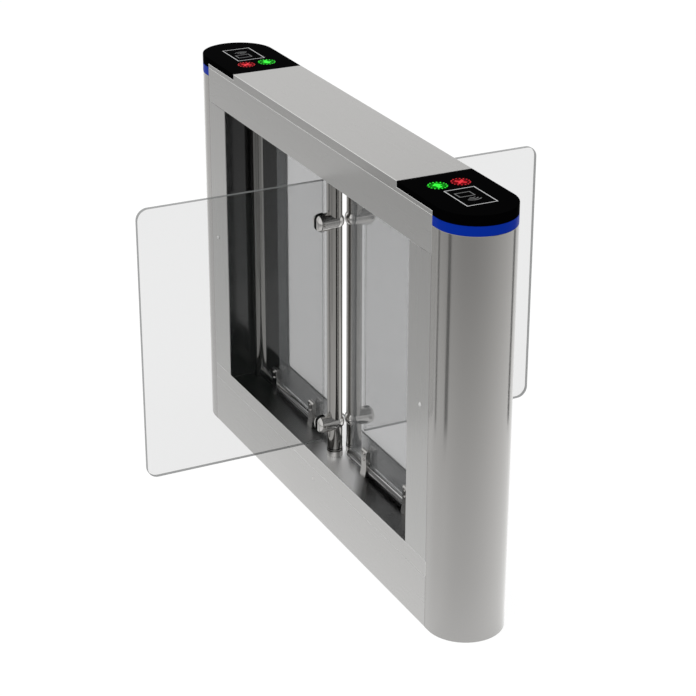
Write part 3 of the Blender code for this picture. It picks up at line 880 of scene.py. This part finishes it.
def wave_faces(bm, centre, radius, line, start, end):
    """A curved bar, made by turning a short line about the centre."""
    before = set(bm.faces)
    first = Vector((math.cos(math.radians(start)), math.sin(math.radians(start)), 0))
    ends = [bm.verts.new(centre.to_3d() + first * (radius + shift * line / 2)) for shift in (-1, 1)]
    geom = [*ends, bm.edges.new(ends)]
    angle = math.radians(end - start)
    bmesh.ops.spin(bm, geom=geom, cent=centre.to_3d(), axis=(0, 0, 1), angle=angle, steps=10)
    return [f for f in bm.faces if f not in before]


for end, way in (("near", 1), ("far", -1)):
    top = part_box(f"display_cover_{end}")[1].z
    centre = Vector((way * FIELD_CENTRE[0], FIELD_CENTRE[1]))
    bm = bmesh.new()
    raise_faces(bm, frame_faces(bm, centre, FIELD_HALF, FIELD_LINE), top)
    make_piece(f"reader_frame_{end}", bm, [print_ink], "lid", 30.0)
    card = centre + Vector((way * CARD_SHIFT[0], CARD_SHIFT[1]))
    waves = card + Vector((way * (CARD_HALF[0] + CARD_LINE), -CARD_SHIFT[1]))
    facing = 0.0 if way > 0 else 180.0
    bm = bmesh.new()
    faces = frame_faces(bm, card, CARD_HALF, CARD_LINE)
    for radius in WAVE_RADII:
        start, stop = facing - WAVE_HALF_ANGLE, facing + WAVE_HALF_ANGLE
        faces += wave_faces(bm, waves, radius, CARD_LINE, start, stop)
    raise_faces(bm, faces, top)
    make_piece(f"reader_symbol_{end}", bm, [faint_ink], "lid", 30.0)
print("printed the covers")

# %% [markdown]
# ## Eyes and beads
#
# Each sensor eye gets a domed lens: the top of a sphere, cut flat by a plane. A fine bead of sealant runs where the
# end walls of the window meet the sill.

# %% Eyes
LENS_SHARE = 0.95  # of the eye's radius
LENS_SINK = 0.35  # of it too, so that only a cap stands out
LENS_GAP = 0.0001
for side in SIDES:
    out = -1 if side == "front" else 1
    for end in ENDS:
        low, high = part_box(f"sensor_eye_{side}_{end}")
        centre = (low + high) / 2
        face = low.y if side == "front" else high.y
        radius = (high.x - low.x) / 2
        bm = bmesh.new()
        bmesh.ops.create_uvsphere(bm, u_segments=24, v_segments=12, radius=radius * LENS_SHARE)
        bmesh.ops.translate(bm, vec=(0, 0, -radius * LENS_SINK), verts=bm.verts)
        everything = bm.verts[:] + bm.edges[:] + bm.faces[:]
        cut = bmesh.ops.bisect_plane(bm, geom=everything, plane_co=(0, 0, 0), plane_no=(0, 0, 1), clear_inner=True)
        bmesh.ops.contextual_create(bm, geom=[e for e in cut["geom_cut"] if isinstance(e, bmesh.types.BMEdge)])
        bmesh.ops.recalc_face_normals(bm, faces=bm.faces)
        around = Vector((0, 0, 1)).rotation_difference(Vector((0, out, 0))).to_matrix().to_4x4()
        place = Matrix.Translation((centre.x, face + out * LENS_GAP, centre.z))
        bmesh.ops.transform(bm, matrix=place @ around, verts=bm.verts)
        make_piece(f"eye_lens_{side}_{end}", bm, [eye_lens], "case")

# %% Sealant beads
BEAD_RADIUS = 0.0011
BEAD_GAP = 0.0001
BEAD_END_GAP = 0.002
for end, way in (("near", 1), ("far", -1)):
    wall_low, wall_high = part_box(f"window_wall_{end}")
    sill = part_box("window_sill")[1]
    face = wall_low.x if end == "near" else wall_high.x
    bm = bmesh.new()
    bmesh.ops.create_cone(
        bm, cap_ends=True, segments=8, radius1=BEAD_RADIUS, radius2=BEAD_RADIUS, depth=2 * (sill.y - BEAD_END_GAP)
    )
    bmesh.ops.rotate(bm, cent=(0, 0, 0), matrix=Matrix.Rotation(math.pi / 2, 3, "X"), verts=bm.verts)
    place = (face - way * (BEAD_RADIUS + BEAD_GAP), 0, sill.z + BEAD_RADIUS + BEAD_GAP)
    bmesh.ops.translate(bm, vec=place, verts=bm.verts)
    make_piece(f"wall_bead_{end}", bm, [tube_chrome_painted_shade], "case")

# %% [markdown]
# ## Light, floor and background
#
# The photograph has a pure white ground with hardly any shadow. A pale floor lit until it burns out would flood the
# steel with light, so the white comes from rays instead: what the camera sees directly, in a mirror or through glass
# is white, and everything else is lit at a plain level. The floor that mirrors see turns greyer with distance, and
# most of all towards the camera, as the floor of a studio does when its lamps stand at the sides. That gives the
# upper sheets their darker tone and the round column its shading.

# %% World
world = bpy.data.worlds.new("studio")
bpy.context.scene.world = world
world.use_nodes = True
sky = world.node_tree
sky.nodes.clear()
paths = add_node(sky, "ShaderNodeLightPath")
seen = add_node(sky, "ShaderNodeMath", operation="MAXIMUM")
seen_too = add_node(sky, "ShaderNodeMath", operation="MAXIMUM")
wire(sky, paths.outputs["Is Camera Ray"], seen.inputs[0])
wire(sky, paths.outputs["Is Glossy Ray"], seen.inputs[1])
wire(sky, seen.outputs[0], seen_too.inputs[0])
wire(sky, paths.outputs["Is Transmission Ray"], seen_too.inputs[1])
lit = add_node(sky, "ShaderNodeBackground")
lit.inputs["Color"].default_value = (0.98, 0.99, 1.0, 1.0)
lit.inputs["Strength"].default_value = 0.75
white = add_node(sky, "ShaderNodeBackground")
white.inputs["Color"].default_value = (1.0, 1.0, 1.0, 1.0)
choice = add_node(sky, "ShaderNodeMixShader")
wire(sky, seen_too.outputs[0], choice.inputs["Fac"])
wire(sky, lit.outputs[0], choice.inputs[1])
wire(sky, white.outputs[0], choice.inputs[2])
wire(sky, choice.outputs[0], add_node(sky, "ShaderNodeOutputWorld").inputs["Surface"])

# %% Tone of the floor in mirrors
FLOOR_HALF = 14.0
FLOOR_DROP = 0.0005
END_CENTRE = 0.618
FLOOR_TONES = ((0.0, 0.93), (0.36, 0.80), (0.94, 0.70), (1.6, 0.575), (2.4, 0.445), (3.6, 0.40))
FLOOR_LEAN = (-0.18, 0.164, 0.0)


def floor_tone(tree):
    """Brightness by distance from the case, darkest towards the camera's side of the near end."""
    place = add_node(tree, "ShaderNodeTexCoord")
    moved = add_node(tree, "ShaderNodeVectorMath", operation="SUBTRACT")
    moved.inputs[1].default_value = (END_CENTRE, 0.0, 0.0)
    beside = add_node(tree, "ShaderNodeVectorMath", operation="MAXIMUM")
    beside.inputs[1].default_value = (0.0, -FLOOR_HALF, 0.0)
    away = add_node(tree, "ShaderNodeVectorMath", operation="LENGTH")
    way = add_node(tree, "ShaderNodeVectorMath", operation="NORMALIZE")
    lean = add_node(tree, "ShaderNodeVectorMath", operation="DOT_PRODUCT")
    lean.inputs[1].default_value = FLOOR_LEAN
    wire(tree, place.outputs["Object"], moved.inputs[0])
    wire(tree, moved.outputs["Vector"], beside.inputs[0])
    wire(tree, beside.outputs["Vector"], away.inputs[0])
    wire(tree, beside.outputs["Vector"], way.inputs[0])
    wire(tree, way.outputs["Vector"], lean.inputs[0])
    reach = FLOOR_TONES[-1][0]
    share = span(tree, away.outputs["Value"], 0.0, reach, 0.0, 1.0)
    tone = tone_ramp(tree, share, [(distance / reach, level) for distance, level in FLOOR_TONES])
    leaned = add_node(tree, "ShaderNodeMath", operation="ADD")
    level = add_node(tree, "ShaderNodeMath", operation="ADD")
    level.inputs[1].default_value = Vector(FLOOR_LEAN).length
    wire(tree, tone, leaned.inputs[0])
    wire(tree, lean.outputs["Value"], leaned.inputs[1])
    wire(tree, leaned.outputs[0], level.inputs[0])
    return level.outputs[0]


# %% Floor


def stage_piece(name, bm, finish):
    mesh = bpy.data.meshes.new(name)
    bm.to_mesh(mesh)
    bm.free()
    mesh.materials.append(finish)
    made = bpy.data.objects.new(name, mesh)
    bpy.context.scene.collection.objects.link(made)
    return made


def stage_finish(name):
    made = bpy.data.materials.new(name)
    made.use_nodes = True
    made.node_tree.nodes.clear()
    return made, made.node_tree


floor_finish, tree = stage_finish("pale_floor")
mirrored = add_node(tree, "ShaderNodeEmission")
wire(tree, floor_tone(tree), mirrored.inputs["Strength"])
plain_white = add_node(tree, "ShaderNodeEmission")
plain_white.inputs["Strength"].default_value = 0.94
matt = add_node(tree, "ShaderNodeBsdfDiffuse")
matt.inputs["Color"].default_value = (0.8, 0.8, 0.8, 1.0)
whole_white = add_node(tree, "ShaderNodeAddShader")
dim = add_node(tree, "ShaderNodeBsdfDiffuse")
dim.inputs["Color"].default_value = (0.10, 0.10, 0.10, 1.0)
wire(tree, plain_white.outputs[0], whole_white.inputs[0])
wire(tree, dim.outputs[0], whole_white.inputs[1])
paths = add_node(tree, "ShaderNodeLightPath")
direct = add_node(tree, "ShaderNodeMath", operation="MAXIMUM")
wire(tree, paths.outputs["Is Camera Ray"], direct.inputs[0])
wire(tree, paths.outputs["Is Transmission Ray"], direct.inputs[1])
first = add_node(tree, "ShaderNodeMixShader")
wire(tree, paths.outputs["Is Glossy Ray"], first.inputs["Fac"])
wire(tree, matt.outputs[0], first.inputs[1])
wire(tree, mirrored.outputs[0], first.inputs[2])
second = add_node(tree, "ShaderNodeMixShader")
wire(tree, direct.outputs[0], second.inputs["Fac"])
wire(tree, first.outputs[0], second.inputs[1])
wire(tree, whole_white.outputs[0], second.inputs[2])
wire(tree, second.outputs[0], add_node(tree, "ShaderNodeOutputMaterial").inputs["Surface"])
bm = bmesh.new()
bmesh.ops.create_grid(bm, x_segments=1, y_segments=1, size=FLOOR_HALF)
bmesh.ops.translate(bm, vec=(0, 0, -FLOOR_DROP), verts=bm.verts)
stage_piece("floor", bm, floor_finish)

# %% [markdown]
# The dark lines down the column are reflections of narrow boards that a photographer stands beside the set to give
# a round mirror its shape. A canopy that hangs behind the gate darkens the upper half of each round clamp in the same
# way. All of them are seen by mirrors alone, so they throw no shadow and stay out of every view.

# %% Boards beside the set
BOARD_REACH = 1.1
BOARD_HEIGHT = 0.66
BOARD_THICKNESS = 0.004
BOARD_LIFT = 0.01
BOARDS = ((-94.0, 0.19), (-131.0, 0.11), (95.0, 0.19))  # bearing from the near end in degrees, and width
CANOPY_HALF = (1.95, 0.85, 1.0)
CANOPY_SLOPE = math.radians(11.0)
CANOPY_PLACE = (1.25, 1.1, 1.65)


def for_mirrors_only(board):
    board.visible_camera = False
    board.visible_diffuse = False
    board.visible_shadow = False
    board.visible_transmission = False


board_finish, tree = stage_finish("dark_board")
dark = add_node(tree, "ShaderNodeEmission")
dark.inputs["Color"].default_value = (0.20, 0.20, 0.20, 1.0)
wire(tree, dark.outputs[0], add_node(tree, "ShaderNodeOutputMaterial").inputs["Surface"])
for index, (bearing, width) in enumerate(BOARDS):
    bm = bmesh.new()
    bmesh.ops.create_cube(bm, size=1.0)
    bmesh.ops.scale(bm, vec=(BOARD_THICKNESS, width, BOARD_HEIGHT), verts=bm.verts)
    bmesh.ops.translate(bm, vec=(BOARD_REACH, 0, BOARD_HEIGHT / 2 + BOARD_LIFT), verts=bm.verts)
    around = Matrix.Rotation(math.radians(bearing), 3, "Z")
    bmesh.ops.rotate(bm, cent=(0, 0, 0), matrix=around, verts=bm.verts)
    bmesh.ops.translate(bm, vec=(END_CENTRE, 0, 0), verts=bm.verts)
    for_mirrors_only(stage_piece(f"board_{index}", bm, board_finish))

bm = bmesh.new()
bmesh.ops.create_grid(bm, x_segments=1, y_segments=1, size=1.0)
bmesh.ops.scale(bm, vec=CANOPY_HALF, verts=bm.verts)
bmesh.ops.rotate(bm, cent=(0, 0, 0), matrix=Matrix.Rotation(CANOPY_SLOPE, 3, "Y"), verts=bm.verts)
bmesh.ops.translate(bm, vec=CANOPY_PLACE, verts=bm.verts)
for_mirrors_only(stage_piece("canopy", bm, board_finish))

# %% Lamps


def soft_lamp(name, place, target, size, power):
    data = bpy.data.lights.new(name, "AREA")
    data.shape = "SQUARE"
    data.size = size
    data.energy = power
    lamp = bpy.data.objects.new(name, data)
    lamp.location = place
    lamp.rotation_euler = (Vector(target) - Vector(place)).to_track_quat("-Z", "Y").to_euler()
    lamp.visible_glossy = False
    bpy.context.scene.collection.objects.link(lamp)
    return lamp


soft_lamp("top_light", (0.2, -0.6, 3.2), (0.0, 0.0, 0.6), 2.6, 28.0)
soft_lamp("side_light", (1.2, -3.0, 1.6), (0.0, 0.0, 0.5), 2.2, 14.0)
